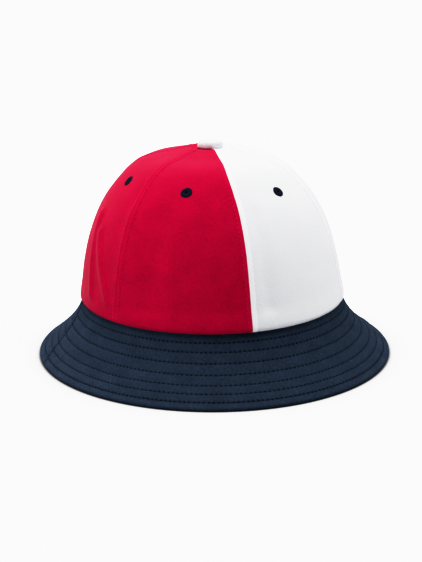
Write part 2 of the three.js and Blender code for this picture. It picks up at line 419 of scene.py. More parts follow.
    def crown_point(self, angle: float, distance: float, rise: float) -> Vector:
        """A place on the crown's cloth, in metres.

        Args:
            angle: Degrees round the crown.
            distance: Millimetres up the cloth from the brim seam.
            rise: Millimetres that the cloth stands out from its smooth form.

        Returns:
            The point in the part's frame.
        """
        section = self.crown_curve.at(distance)
        scale = section.reach / self.mean_radius
        bow = self.seam_bow * hollow(scale - self.bow_radius, self.bow_width)
        turned = angle + bow * max(1 - abs(angle) / HALF_GORE, 0.0)
        rise += self.fold_rise(angle, (section.height - self.brim_drop) / self.crown_height)
        height = section.height + rise * section.out_height
        return self.place(turned, scale, rise * section.out_reach, height)


FORM = HatForm()


class Wiring:
    """Adds nodes to a node tree and links them."""

    def __init__(self, tree: bpy.types.NodeTree) -> None:
        """Takes the tree to work on."""
        self.tree = tree

    def node(self, kind: str, **settings: object) -> bpy.types.Node:
        """Adds a node and sets its properties."""
        made = self.tree.nodes.new(kind)
        for name, value in settings.items():
            setattr(made, name, value)
        return made

    def feed(self, socket: Socket, value: object) -> None:
        """Links a socket to another, or sets its value."""
        if isinstance(value, Socket):
            self.tree.links.new(value, socket)
        else:
            socket.default_value = value

    def fill(self, node: bpy.types.Node, **values: object) -> bpy.types.NodeOutputs:
        """Feeds a node's inputs.

        Args:
            node: The node.
            values: Sockets or values by input, with spaces written as underscores.

        Returns:
            The node's outputs.
        """
        for name, value in values.items():
            self.feed(node.inputs[name.replace("_", " ")], value)
        return node.outputs

    def math(self, operation: str, *values: object) -> Socket:
        """Adds a Math node.

        Args:
            operation: Its operation, as Blender names it.
            values: Sockets or numbers for its inputs.

        Returns:
            The node's output.
        """
        made = self.node("ShaderNodeMath", operation=operation)
        for socket, value in zip(made.inputs, values, strict=False):
            self.feed(socket, value)
        return made.outputs[0]

    def blend(self, first: object, first_share: float, second: object, second_share: float) -> Socket:
        """Adds a share of one value to a share of another."""
        return self.math(
            "ADD",
            self.math("MULTIPLY", first, first_share),
            self.math("MULTIPLY", second, second_share),
        )

    def around_one(self, value: object, spread: float) -> Socket:
        """Turns a value that is about 0.5 into a factor that is about 1."""
        return self.math("MULTIPLY_ADD", self.math("SUBTRACT", value, 0.5), spread, 1.0)

    def ease(self, value: object, low: float, high: float) -> Socket:
        """Eases a value from 0 at low to 1 at high, or from 1 to 0 where low is above high."""
        made = self.node("ShaderNodeMapRange", interpolation_type="SMOOTHSTEP")
        start, end = (0.0, 1.0) if low < high else (1.0, 0.0)
        low, high = sorted((low, high))
        return self.fill(made, Value=value, From_Min=low, From_Max=high, To_Min=start, To_Max=end)["Result"]

    def noise(self, vector: Socket, scale: float, detail: float) -> Socket:
        """Adds a noise texture and returns its value, which is about 0.5 on average."""
        return self.fill(self.node("ShaderNodeTexNoise"), Vector=vector, Scale=scale, Detail=detail)["Fac"]

    def stretched(self, vector: Socket, scale: Triple) -> Socket:
        """Scales a vector along each axis."""
        return self.fill(self.node("ShaderNodeMapping"), Vector=vector, Scale=scale)["Vector"]

    def scaled(self, vector: Socket | Triple, factor: Socket) -> Socket:
        """Multiplies a vector or a colour by a number."""
        made = self.node("ShaderNodeVectorMath", operation="SCALE")
        self.feed(made.inputs[0], vector)
        self.feed(made.inputs["Scale"], factor)
        return made.outputs[0]

    def split(self, vector: Socket) -> bpy.types.NodeOutputs:
        """Splits a vector into its three numbers."""
        return self.fill(self.node("ShaderNodeSeparateXYZ"), Vector=vector)

    def bump(self, height: Socket, strength: float, depth: float) -> Socket:
        """Turns a height into a bumped normal.

        Args:
            height: The height, from about 0 to 1.
            strength: How strongly it bends the normal.
            depth: Millimetres that a height of 1 stands for.

        Returns:
            The normal.
        """
        made = self.node("ShaderNodeBump")
        return self.fill(made, Strength=strength, Distance=depth * MM, Height=height)["Normal"]


class EffectGroup:
    """A node group that several finishes share, built on first use."""

    name: str
    inputs: dict[str, tuple[str, float]]
    outputs: tuple[str, ...]

    @classmethod
    def tree(cls) -> bpy.types.NodeTree:
        """The group's node tree."""
        known = bpy.data.node_groups.get(cls.name)
        if known is not None:
            return known
        tree = bpy.data.node_groups.new(cls.name, "ShaderNodeTree")
        for name, (kind, value) in cls.inputs.items():
            socket = tree.interface.new_socket(name=name, in_out="INPUT", socket_type=kind)
            if kind == "NodeSocketFloat":
                socket.default_value = value
        for name in cls.outputs:
            tree.interface.new_socket(name=name, in_out="OUTPUT", socket_type="NodeSocketFloat")
        wiring = Wiring(tree)
        cls.wire(wiring, wiring.node("NodeGroupInput").outputs, wiring.node("NodeGroupOutput").inputs)
        return tree

    @classmethod
    def wire(cls, wiring: Wiring, given: bpy.types.NodeOutputs, wanted: bpy.types.NodeInputs) -> None:
        """Fills the tree between its inputs and its outputs."""
        raise NotImplementedError

    @classmethod
    def use(cls, wiring: Wiring, **values: object) -> bpy.types.NodeOutputs:
        """Places the group in a material.

        Args:
            wiring: The material's wiring.
            values: Inputs by name, with spaces written as underscores.

        Returns:
            The group's outputs.
        """
        return wiring.fill(wiring.node("ShaderNodeGroup", node_tree=cls.tree()), **values)


class TwillWeave(EffectGroup):
    """Fine diagonal ribs of a twill, broken into grains by its yarns."""

    name = "twill_weave"
    inputs = {"Cloth": ("NodeSocketVector", 0.0), "Rib Pitch": ("NodeSocketFloat", 0.7)}
    outputs = ("Height", "Slub")
    rib_slope = 0.55
    grain_slope = 0.45
    grain_rate = 1.6
    grain_depth = 0.18
    weft_share = 0.45

    @classmethod
    def wire(cls, wiring: Wiring, given: bpy.types.NodeOutputs, wanted: bpy.types.NodeInputs) -> None:
        """Ribs run up to the right at about 60 degrees, with a grain along each rib."""
        split = wiring.split(given["Cloth"])
        across, up = split[0], split[1]
        turns = wiring.math("DIVIDE", math.tau, given["Rib Pitch"])
        diagonal = wiring.math("MULTIPLY", wiring.math("MULTIPLY_ADD", up, -cls.rib_slope, across), turns)
        rib = wiring.math("MULTIPLY_ADD", wiring.math("SINE", diagonal), 0.5, 0.5)
        along = wiring.math("MULTIPLY", wiring.math("MULTIPLY_ADD", across, cls.grain_slope, up), turns)
        beat = wiring.math("SINE", wiring.math("MULTIPLY", along, cls.grain_rate))
        grain = wiring.math("MULTIPLY_ADD", beat, cls.grain_depth, 1 - cls.grain_depth)
        wiring.feed(wanted["Height"], wiring.math("MULTIPLY", rib, grain))
        weft = wiring.noise(wiring.stretched(given["Cloth"], (0.45, 1.0, 1.0)), 1.0, 2.0)
        warp = wiring.noise(wiring.stretched(given["Cloth"], (1.0, 0.35, 1.0)), 1.2, 2.0)
        wiring.feed(wanted["Slub"], wiring.blend(weft, cls.weft_share, warp, 1 - cls.weft_share))


class ClothMottle(EffectGroup):
    """Slow, uneven lights and darks of dyed and worn cloth."""

    name = "cloth_mottle"
    inputs = {"Cloth": ("NodeSocketVector", 0.0), "Patch Size": ("NodeSocketFloat", 12.0)}
    outputs = ("Value",)
    patch_share = 0.6
    thread_rate = 7.0

    @classmethod
    def wire(cls, wiring: Wiring, given: bpy.types.NodeOutputs, wanted: bpy.types.NodeInputs) -> None:
        """Two noises, one of patches and one of a few threads."""
        shrunk = wiring.scaled(given["Cloth"], wiring.math("DIVIDE", 1.0, given["Patch Size"]))
        patches = wiring.noise(shrunk, 1.0, 3.0)
        threads = wiring.noise(shrunk, cls.thread_rate, 2.0)
        wiring.feed(wanted["Value"], wiring.blend(patches, cls.patch_share, threads, 1 - cls.patch_share))


class NeedleHoles(EffectGroup):
    """Dimples where the thread of a stitch row dives into the cloth.

    The stitching map counts whole stitches along a row in U and the distance from the
    row in stitches in V, so a hole stands at each whole number of U on the line V = 0.
    """

    name = "needle_holes"
    inputs = {"Stitches": ("NodeSocketVector", 0.0), "Hole Share": ("NodeSocketFloat", 0.27)}
    outputs = ("Hole", "Row", "Inside")
    hole_floor = 0.25
    groove_width = 1.6
    seam_edge = 0.08

    @classmethod
    def wire(cls, wiring: Wiring, given: bpy.types.NodeOutputs, wanted: bpy.types.NodeInputs) -> None:
        """A dimple at each hole, a softer groove along the row, and the cloth on the seam's side, as masks
        for the cloth's dimples, its painted shade and its painted highlight.
        """
        split = wiring.split(given["Stitches"])
        along = wiring.math("SUBTRACT", wiring.math("FRACT", wiring.math("ADD", split[0], 0.5)), 0.5)
        squares = wiring.math("ADD", wiring.math("POWER", along, 2.0), wiring.math("POWER", split[1], 2.0))
        share = wiring.math("DIVIDE", wiring.math("SQRT", squares), given["Hole Share"])
        wiring.feed(wanted["Hole"], wiring.ease(share, 1.0, cls.hole_floor))
        beside = wiring.math("DIVIDE", wiring.math("ABSOLUTE", split[1]), given["Hole Share"])
        wiring.feed(wanted["Row"], wiring.ease(beside, cls.groove_width, 0.0))
        wiring.feed(wanted["Inside"], wiring.ease(split[1], cls.seam_edge, -cls.seam_edge))


@dataclass(frozen=True)
class Finish:
    """What a piece is made of.

    Attributes:
        name: Name of the material.
        colour: Its colour.
        slot: Name of a slot for pieces in this finish; it is not used.
    """

    name: str
    colour: Colour
    slot: str

    def material(self) -> bpy.types.Material:
        """The finish's material, built on first use."""
        known = bpy.data.materials.get(self.name)
        if known is not None:
            return known
        made = bpy.data.materials.new(self.name)
        made.use_nodes = True
        self.wire(Wiring(made.node_tree), made.node_tree.nodes["Principled BSDF"])
        return made

    def wire(self, wiring: Wiring, shader: bpy.types.Node) -> None:
        """Wires the material's shader."""
        raise NotImplementedError


@dataclass(frozen=True)
class ClothFinish(Finish):
    """Woven cotton twill, with the needle holes of its stitch rows.

    Attributes:
        rib_pitch: Millimetres from one twill rib to the next.
        rib_shade: How much the ribs change the colour.
        slub: How much the uneven yarns change the colour.
        mottle: How much the slow patches change the colour.
        hole_depth_and_painted_shade: How much painted shade darkens a needle hole, and how deep its dimple
            is.
        painted_row_shade: How much painted shade darkens the groove between two holes.
        painted_band_highlight: A painted highlight: how much brighter the band between a seam and its row is
            coloured.
        roughness: Roughness of the fibres.
        gloss: Specular level of the fibres.
        sheen: Weight of the fuzz that catches light at grazing angles.
        sheen_roughness: Roughness of that fuzz.
        rib_relief: How much of the relief the ribs make.
        slub_relief: How much of it the uneven yarns make.
        dimple: How deep a needle hole is, for its darkness.
        bump: Strength of the relief.
        bump_depth: Depth of the relief, in millimetres.
    """

    rib_pitch: float = 0.7
    rib_shade: float = 0.12
    slub: float = 0.10
    mottle: float = 0.10
    hole_depth_and_painted_shade: float = 0.5
    painted_row_shade: float = 0.1
    painted_band_highlight: float = 0.0
    roughness: float = 0.85
    gloss: float = 0.03
    sheen: float = 0.03
    sheen_roughness: float = 0.3
    rib_relief: float = 0.25
    slub_relief: float = 0.6
    dimple: float = 1.4
    bump: float = 0.7
    bump_depth: float = 0.35

    def wire(self, wiring: Wiring, shader: bpy.types.Node) -> None:
        """Shades and bumps the cloth by its yarns and its patches, dimples it at its needle holes, paints
        shade into those holes and along their rows, and, where set, paints a highlight on the band between a
        seam and its row.
        """
        cloth = wiring.node("ShaderNodeUVMap", uv_map=WEAVE_MAP).outputs[0]
        stitches = wiring.node("ShaderNodeUVMap", uv_map=STITCH_MAP).outputs[0]
        weave = TwillWeave.use(wiring, Cloth=cloth, Rib_Pitch=self.rib_pitch)
        patches = ClothMottle.use(wiring, Cloth=cloth)
        holes = NeedleHoles.use(wiring, Stitches=stitches)
        uneven = wiring.around_one(weave["Slub"], 2 * self.slub)
        patchy = wiring.around_one(patches["Value"], 2 * self.mottle)
        ribbed = wiring.around_one(weave["Height"], self.rib_shade)
        # Painted shade: the colour darkens in each needle hole and along each row.
        painted_hole_shade = wiring.blend(holes["Hole"], self.hole_depth_and_painted_shade, holes["Row"], self.painted_row_shade)
        tone = wiring.math("MULTIPLY", wiring.math("MULTIPLY", uneven, patchy), ribbed)
        tone = wiring.math("MULTIPLY", tone, wiring.math("SUBTRACT", 1.0, painted_hole_shade))
        # Painted highlight: the band between a seam and its row is coloured brighter.
        if self.painted_band_highlight:
            band_highlight_factor = wiring.math("MULTIPLY_ADD", holes["Inside"], self.painted_band_highlight, 1.0)
            tone = wiring.math("MULTIPLY", tone, band_highlight_factor)
        dimples = wiring.math("MULTIPLY", holes["Hole"], self.dimple * self.hole_depth_and_painted_shade)
        relief = wiring.math("SUBTRACT", wiring.math("MULTIPLY", weave["Height"], self.rib_relief), dimples)
        relief = wiring.math("ADD", relief, wiring.math("MULTIPLY", weave["Slub"], self.slub_relief))
        wiring.fill(
            shader,
            Base_Color=wiring.scaled(self.colour.value, tone),
            Roughness=self.roughness,
            Specular_IOR_Level=self.gloss,
            Sheen_Weight=self.sheen,
            Sheen_Roughness=self.sheen_roughness,
            Normal=wiring.bump(relief, self.bump, self.bump_depth),
        )


@dataclass(frozen=True)
class ThreadFinish(Finish):
    """Sewing or embroidery thread, with its twist.

    Attributes:
        roughness: Roughness of the fibres.
        gloss: Specular level of the fibres.
        twist_scale: How fine the twist is.
        twist_shade: How much the twist changes the colour.
        bump: Strength of the twist's relief.
        bump_depth: Depth of that relief, in millimetres.
    """

    roughness: float = 0.8
    gloss: float = 0.08
    twist_scale: float = 900.0
    twist_shade: float = 0.5
    bump: float = 0.5
    bump_depth: float = 0.1

    def wire(self, wiring: Wiring, shader: bpy.types.Node) -> None:
        """Shades and bumps the thread by its fibres."""
        place = wiring.node("ShaderNodeTexCoord").outputs["Object"]
        fibres = wiring.noise(place, self.twist_scale, 2.0)
        wiring.fill(
            shader,
            Base_Color=wiring.scaled(self.colour.value, wiring.around_one(fibres, self.twist_shade)),
            Roughness=self.roughness,
            Specular_IOR_Level=self.gloss,
            Normal=wiring.bump(fibres, self.bump, self.bump_depth),
        )


# The cloths paint shade into their needle holes and along their rows; the red and white cloths also paint a
# highlight on the band beside each seam.
RED_CLOTH = ClothFinish(
    "red_twill", Colour.CRIMSON, "red_cloth",
    slub=0.22, mottle=0.24, hole_depth_and_painted_shade=0.02, painted_row_shade=0.0, painted_band_highlight=0.08, gloss=0.08, sheen=0.08,
)
WHITE_CLOTH = ClothFinish(
    "white_twill", Colour.WHITE, "white_cloth",
    slub=0.07, mottle=0.04, hole_depth_and_painted_shade=0.08, painted_row_shade=0.02, painted_band_highlight=0.12,
)
NAVY_CLOTH = ClothFinish(
    "navy_twill", Colour.NAVY, "navy_cloth",
    slub=0.60, mottle=0.45, hole_depth_and_painted_shade=0.75, painted_row_shade=0.1, sheen=0.01,
)
BUTTON_CLOTH = ClothFinish("button_twill", Colour.BUTTON_WHITE, "button_cloth", slub=0.06, mottle=0.04)
RED_THREAD = ThreadFinish("red_thread", Colour.CRIMSON_THREAD, "red_cloth")
WHITE_THREAD = ThreadFinish("white_thread", Colour.WHITE, "white_cloth")
NAVY_SEWING = ThreadFinish("navy_sewing_thread", Colour.NAVY_THREAD, "navy_thread", gloss=0.02)
NAVY_EMBROIDERY = ThreadFinish("navy_embroidery_thread", Colour.NAVY_EMBROIDERY, "navy_thread")


def finished_piece(
    name: str, mesh: bmesh.types.BMesh, finish: Finish, replaced: str | None = None,
) -> bpy.types.Object:
    """Turns a mesh into a piece of the hat.

    Args:
        name: Name of the piece.
        mesh: Its shape, which is freed.
        finish: What it is made of.
        replaced: The CAD node that it stands for, if there is one.

    Returns:
        The object, which rides on the hat's body.
    """
    for face in mesh.faces:
        face.smooth = True
    data = settled(name, mesh)
    data.materials.append(finish.material())
    piece = placed(name, data)
    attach(piece, BODY)
    if replaced is not None:
        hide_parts(replaced)
    log.info("%s: %d faces", name, len(data.polygons))
    return piece


def give_thickness(piece: bpy.types.Object, thickness: float) -> None:
    """Makes a face of cloth a wall, with its thickness in millimetres behind it."""
    wall = piece.modifiers.new("cloth_wall", "SOLIDIFY")
    wall.thickness = thickness * MM
    wall.offset = -1.0


class Spot(NamedTuple):
    """A place on a cloth face: shares across and along it."""

    across: float
    along: float


class ClothFace:
    """A face of cloth: a grid whose vertices are moved onto the hat's form."""

    def __init__(self, columns: int, rows: int) -> None:
        """Starts from a flat grid.

        Args:
            columns: Cells across.
            rows: Cells along.
        """
        self.mesh = bmesh.new()
        bmesh.ops.create_grid(self.mesh, x_segments=columns, y_segments=rows, size=1.0)
        self.spots = [Spot((v.co.x + 1) / 2, (v.co.y + 1) / 2) for v in self.mesh.verts]

    def shape(self, form: Callable[[Spot], Vector], outside: Vector) -> None:
        """Moves each vertex to its place and turns the faces outwards.

        Args:
            form: Gives the place of a spot, in metres.
            outside: A direction that the cloth looks towards on the whole.
        """
        for vertex, spot in zip(self.mesh.verts, self.spots, strict=True):
            vertex.co = form(spot)
        self.mesh.normal_update()
        looks = sum((face.normal * face.calc_area() for face in self.mesh.faces), Vector())
        if looks.dot(outside) < 0:
            bmesh.ops.reverse_faces(self.mesh, faces=self.mesh.faces[:])

    def chart(
        self,
        name: str,
        chart: Callable[[Spot, object], tuple[float, float]],
        zone: Callable[[Spot], object] = lambda _spot: None,
    ) -> None:
        """Writes a UV map.

        Args:
            name: Name of the map.
            chart: Gives U and V of a spot, as its face's zone measures them.
            zone: Tells from the middle of a face which zone it lies in.
        """
        layer = self.mesh.loops.layers.uv.new(name)
        known: dict[tuple[int, object], tuple[float, float]] = {}
        for face in self.mesh.faces:
            corners = [self.spots[loop.vert.index] for loop in face.loops]
            lies_in = zone(Spot(*(sum(shares) / len(corners) for shares in zip(*corners, strict=True))))
            for loop, corner in zip(face.loops, corners, strict=True):
                key = (loop.vert.index, lies_in)
                if key not in known:
                    known[key] = chart(corner, lies_in)
                loop[layer].uv = known[key]

    def pierce(self, centre: Vector, radius: float) -> None:
        """Opens the cloth where all of a face lies within a radius, in millimetres."""
        inside = [f for f in self.mesh.faces if all((v.co - centre).length < radius * MM for v in f.verts)]
        bmesh.ops.delete(self.mesh, geom=inside, context="FACES")


class Ruler:
    """Measures a row on the hat and shares it out into whole stitches."""

    def __init__(self, place: Callable[[float], Vector], start: float, end: float, pitch: float) -> None:
        """Measures the row.

        Args:
            place: Gives the row's point, in metres, at a way along it.
            start: The way at which the row starts.
            end: The way at which it ends.
            pitch: Millimetres from stitch to stitch, nearly.
        """
        self.ways = np.linspace(start, end, 400)
        points = np.array([place(way) for way in self.ways])
        run = np.concatenate([[0.0], np.cumsum(np.linalg.norm(np.diff(points, axis=0), axis=1))])
        self.count = max(round(run[-1] / (pitch * MM)), 1)
        self.stitches = run / run[-1] * self.count

    def stitches_at(self, way: float) -> float:
        """How many stitches lie before a way along the row."""
        return float(np.interp(way, self.ways, self.stitches))

    def way_of(self, stitches: float) -> float:
        """The way along the row at which a number of stitches is complete."""
        return float(np.interp(stitches, self.stitches, self.ways))


@dataclass(frozen=True)
class Stitching:
    """A machine's stitches: short rounded lengths of thread that lie on the cloth.

    Attributes:
        pitch: Millimetres from stitch to stitch, nearly.
        thread_width: Width of the thread, in millimetres.
        thread_height: Its height.
        covered_share: The share of the pitch that a stitch covers.
        sunk: How deep the thread sinks into the cloth.
        bluntness: How pointed a stitch ends, from 0 for square to 1 for round.
    """

    pitch: float = 3.05
    thread_width: float = 0.5
    thread_height: float = 0.34
    covered_share: float = 0.72
    sunk: float = 0.02
    bluntness: float = 0.6

    @cached_property
    def stitch(self) -> bpy.types.Mesh:
        """One stitch of length and width 1, lying along X."""
        mesh = bmesh.new()
        lying = Matrix.Rotation(math.pi / 2, 4, "Y")
        bmesh.ops.create_uvsphere(mesh, u_segments=6, v_segments=4, radius=0.5, matrix=lying)
        for vertex in mesh.verts:
            vertex.co.x = math.copysign(abs(2 * vertex.co.x) ** self.bluntness, vertex.co.x) / 2
        return settled("stitch", mesh)

    def frame_at(
        self, point: Callable[[float, float], Vector], ruler: Ruler, number: int, outside: Vector | None,
    ) -> Matrix:
        """Where a stitch lies.

        Args:
            point: Gives the cloth's point at a way along the row and a little beside it.
            ruler: The row's ruler.
            number: Which stitch of the row this is.
            outside: A direction out of the cloth, or None for away from the hat's middle.

        Returns:
            The stitch's place, turn and size.
        """
        reach = self.covered_share / 2
        start = point(ruler.way_of(number + 0.5 - reach), 0.0)
        end = point(ruler.way_of(number + 0.5 + reach), 0.0)
        way = ruler.way_of(number + 0.5)
        middle = point(way, 0.0)
        along = (end - start).normalized()
        out = along.cross(point(way, 0.4) - point(way, -0.4)).normalized()
        if out.dot(outside if outside is not None else middle) < 0:
            out.negate()
        side = out.cross(along)
        size = Matrix.Diagonal(((end - start).length, self.thread_width * MM, self.thread_height * MM, 1.0))
        turn = Matrix((along, side, out)).transposed().to_4x4()
        lift = (self.thread_height / 2 - self.sunk) * MM
        return Matrix.Translation(middle + out * lift) @ turn @ size

    def sew(self, frames: Iterable[Matrix]) -> bmesh.types.BMesh:
        """Lays a stitch at each frame.

        Args:
            frames: Place, turn and size of each stitch.

        Returns:
            All the stitches as one mesh.
        """
        mesh = bmesh.new()
        for place in frames:
            laid = self.stitch.copy()
            laid.transform(place)
            mesh.from_mesh(laid, face_normals=False, vertex_normals=False)
            bpy.data.meshes.remove(laid)
        mesh.normal_update()
        return mesh


STITCHING = Stitching()


@dataclass(frozen=True)
class CrownGore:
    """One gore of the crown, with its seams, stitch rows and rolled lower edge.

    Attributes:
        name: Name of the CAD node.
        middle: Angle of its middle line.
        finish: Its cloth.
        thread: The thread that it is topstitched with.
        eyelet_turn: Degrees from the middle line to its eyelet.
        eyelet_radius: The crown's radius at the eyelet, as a share of its base.
        low_row: Millimetres from the seam at its lower angle to the stitch row there.
        high_row: The same at its higher angle.
        row_share: The most of the half width that the row stands in from the seam.
        seam_gap: Gap between two gores.
        seam_dip: Depth of the seam's line, and seam_dip_width its half width.
        band_puff: How far the band between seam and row stands out.
        row_dip: Depth of the row's groove, and row_width its half width.
        row_start: Millimetres up from the brim seam to the rows' first stitch.
        row_end: Millimetres from the rows' last stitch to the gore's end.
        sewn_from: Half widths of the gore between which the seams' relief sets in.
        pucker: How uneven the cloth is beside the row, as far as pucker_width.
        hem_roll: How far the lower edge rolls in, over hem_height.
        hem_droop: How far the lower edge hangs down over the brim.
        allowance_puff: How far the allowance inside pushes the cloth out, over
            allowance_height, and allowance_turn how much less at the sides.
        slack: How uneven the slack cloth is, and slack_size the size of its waves.
        loose_height: Millimetres up the cloth between which the slack sets in.
        loose_width: Half widths of the gore between which it sets in.
        button_press: How far the button presses the cloth in, from press_start to
            press_end millimetres before the gore's end.
        eyelet_cut: Radius of the hole in the cloth under the eyelet.
        columns: Cells of the cloth across.
        rows: Cells of the cloth along.
    """

    name: str
    middle: float
    finish: ClothFinish
    thread: ThreadFinish
    eyelet_turn: float = 0.0
    eyelet_radius: float = 0.66
    low_row: float = 2.6
    high_row: float = 2.6
    row_share: float = 0.6
    seam_gap: float = 0.01
    seam_dip: float = 0.04
    seam_dip_width: float = 0.4
    band_puff: float = 0.34
    row_dip: float = 0.03
    row_width: float = 0.5
    row_start: float = 1.5
    row_end: float = 5.5
    sewn_from: tuple[float, float] = (2.0, 9.0)
    pucker: float = 0.1
    pucker_width: float = 3.0
    hem_roll: float = 0.9
    hem_height: float = 1.6
    hem_droop: float = 0.8
    allowance_puff: float = 1.4
    allowance_height: float = 15.0
    allowance_turn: float = 0.45
    slack: float = 0.45
    slack_size: float = 34.0
    loose_height: tuple[float, float] = (4.0, 30.0)
    loose_width: tuple[float, float] = (3.0, 20.0)
    button_press: float = 1.9
    press_start: float = 13.0
    press_end: float = 7.0
    eyelet_cut: float = 3.3
    columns: int = 96
    rows: int = 112

    @cached_property
    def length(self) -> float:
        """Length of the gore, from the brim seam to the crown's tip."""
        return FORM.crown_curve.where_reach_falls_to(FORM.tip_radius)

    def half_width(self, distance: float) -> float:
        """Half the gore's width, in millimetres, at a distance up from the brim seam."""
        return math.radians(HALF_GORE) * FORM.crown_curve.at(distance).reach - self.seam_gap / 2

    def row_in(self, high: bool, half: float) -> float:
        """Millimetres from the seam to its row, where the gore has a given half width."""
        return min(self.high_row if high else self.low_row, self.row_share * half)

    def rise(self, aside: float, distance: float, angle: float) -> float:
        """How far the cloth stands out from the crown's smooth form.

        Args:
            aside: Millimetres from the gore's middle line, towards its higher angle.
            distance: Millimetres up from the brim seam.
            angle: Degrees round the crown.

        Returns:
            Millimetres outwards.
        """
        half = self.half_width(distance)
        from_seam = max(half - abs(aside), 0.0)
        row = self.row_in(aside > 0, half)
        broad = smoothstep(half, *self.sewn_from)
        seam = -self.seam_dip * hollow(from_seam, self.seam_dip_width)
        band = self.band_puff * row / self.low_row * pillow(from_seam / row, FULLNESS)
        groove = -self.row_dip * hollow(from_seam - row, self.row_width)
        uneven = noise.noise(Vector((distance / 4.0, self.middle, aside / 6.0)))
        pucker = self.pucker * uneven * hollow(from_seam - row, self.pucker_width)
        hem = -self.hem_roll * (1 - smoothstep(distance, 0.0, self.hem_height))
        under_button = smoothstep(distance, self.length - self.press_start, self.length - self.press_end)
        pressed = -self.button_press * under_button
        ahead = 1 - self.allowance_turn * math.sin(math.radians(angle)) ** 2
        allowance = self.allowance_puff * ahead * (1 - smoothstep(distance, 0.0, self.allowance_height))
        loose = smoothstep(distance, *self.loose_height) * smoothstep(half, *self.loose_width)
        where = Vector((math.radians(angle) * ROUND, distance, 3.0)) / self.slack_size
        slack = self.slack * noise.noise(where)
        return broad * (seam + band + groove + pucker) + hem + allowance + loose * slack + pressed

    def point(self, aside: float, distance: float) -> Vector:
        """A place on the gore's outer face, in metres, with its rise."""
        reach = FORM.crown_curve.at(distance).reach
        angle = self.middle + math.degrees(aside / max(reach, 0.1))
        droop = self.hem_droop * (1 - smoothstep(distance, 0.0, self.allowance_height / 2))
        lifted = FORM.crown_point(angle, distance, self.rise(aside, distance, angle))
        return lifted - Vector((0.0, 0.0, droop * MM))

    def spot_point(self, spot: Spot) -> Vector:
        """The place of a spot of the cloth face, which is finer near the seams."""
        return self.point(self.aside(spot), spot.along * self.length)

    def aside(self, spot: Spot) -> float:
        """Millimetres from the middle line to a spot."""
        return self.half_width(spot.along * self.length) * math.sin(math.pi * (spot.across - 0.5))

    def weave(self, spot: Spot, _zone: None) -> tuple[float, float]:
        """The cloth's own grain, in millimetres: straight up the gore's middle line."""
        return self.aside(spot) + 3 * self.middle, spot.along * self.length

    def stitch_chart(self, spot: Spot, high: bool) -> tuple[float, float]:
        """Stitches along the row at the higher or lower angle, and the distance from it."""
        distance = spot.along * self.length
        half = self.half_width(distance)
        from_seam = half - self.aside(spot) * (1 if high else -1)
        beside = from_seam - self.row_in(high, half)
        return self.ruler(high).stitches_at(distance), beside / STITCHING.pitch

    def row_point(self, high: bool, distance: float, beside: float) -> Vector:
        """A place on a stitch row, or a little beside it."""
        half = self.half_width(distance)
        return self.point((half - self.row_in(high, half) + beside) * (1 if high else -1), distance)

    @lru_cache(maxsize=2)
    def ruler(self, high: bool) -> Ruler:
        """The ruler of the stitch row at the higher or the lower angle."""
        start, end = self.row_start, self.length - self.row_end
        return Ruler(lambda distance: self.row_point(high, distance, 0.0), start, end, STITCHING.pitch)

    @property
    def eyelet_frame(self) -> Matrix:
        """Where the eyelet sits: its centre, with Z straight out of the cloth."""
        distance = FORM.crown_curve.where_reach_falls_to(self.eyelet_radius * FORM.mean_radius)
        aside = math.radians(self.eyelet_turn) * FORM.crown_curve.at(distance).reach
        centre = self.point(aside, distance)
        up = (self.point(aside, distance + 1) - self.point(aside, distance - 1)).normalized()
        across = (self.point(aside + 1, distance) - self.point(aside - 1, distance)).normalized()
        out = across.cross(up).normalized()
        if out.z < 0:
            out.negate()
        side = up.cross(out)
        return Matrix.Translation(centre) @ Matrix((side, up, out)).transposed().to_4x4()

    def build(self) -> bpy.types.Object:
        """Builds the gore and its two rows of topstitching.

        Returns:
            The gore's piece.
        """
        cloth = ClothFace(self.columns, self.rows)
        middle = self.point(0.0, self.length / 2)
        cloth.shape(self.spot_point, outside=Vector((middle.x, middle.y, 0.0)))
        cloth.chart(WEAVE_MAP, self.weave)
        cloth.chart(STITCH_MAP, self.stitch_chart, zone=lambda spot: spot.across > 0.5)
        cloth.pierce(self.eyelet_frame.translation, self.eyelet_cut)
        piece = finished_piece(f"{self.name}_panel", cloth.mesh, self.finish, f"crown_{self.name}")
        give_thickness(piece, FORM.crown_cloth)
        frames = []
        for high in (False, True):
            ruler = self.ruler(high)
            row = partial(self.row_point, high)
            frames += [STITCHING.frame_at(row, ruler, number, None) for number in range(ruler.count)]
        finished_piece(f"{self.name}_topstitching", STITCHING.sew(frames), self.thread)
        return piece


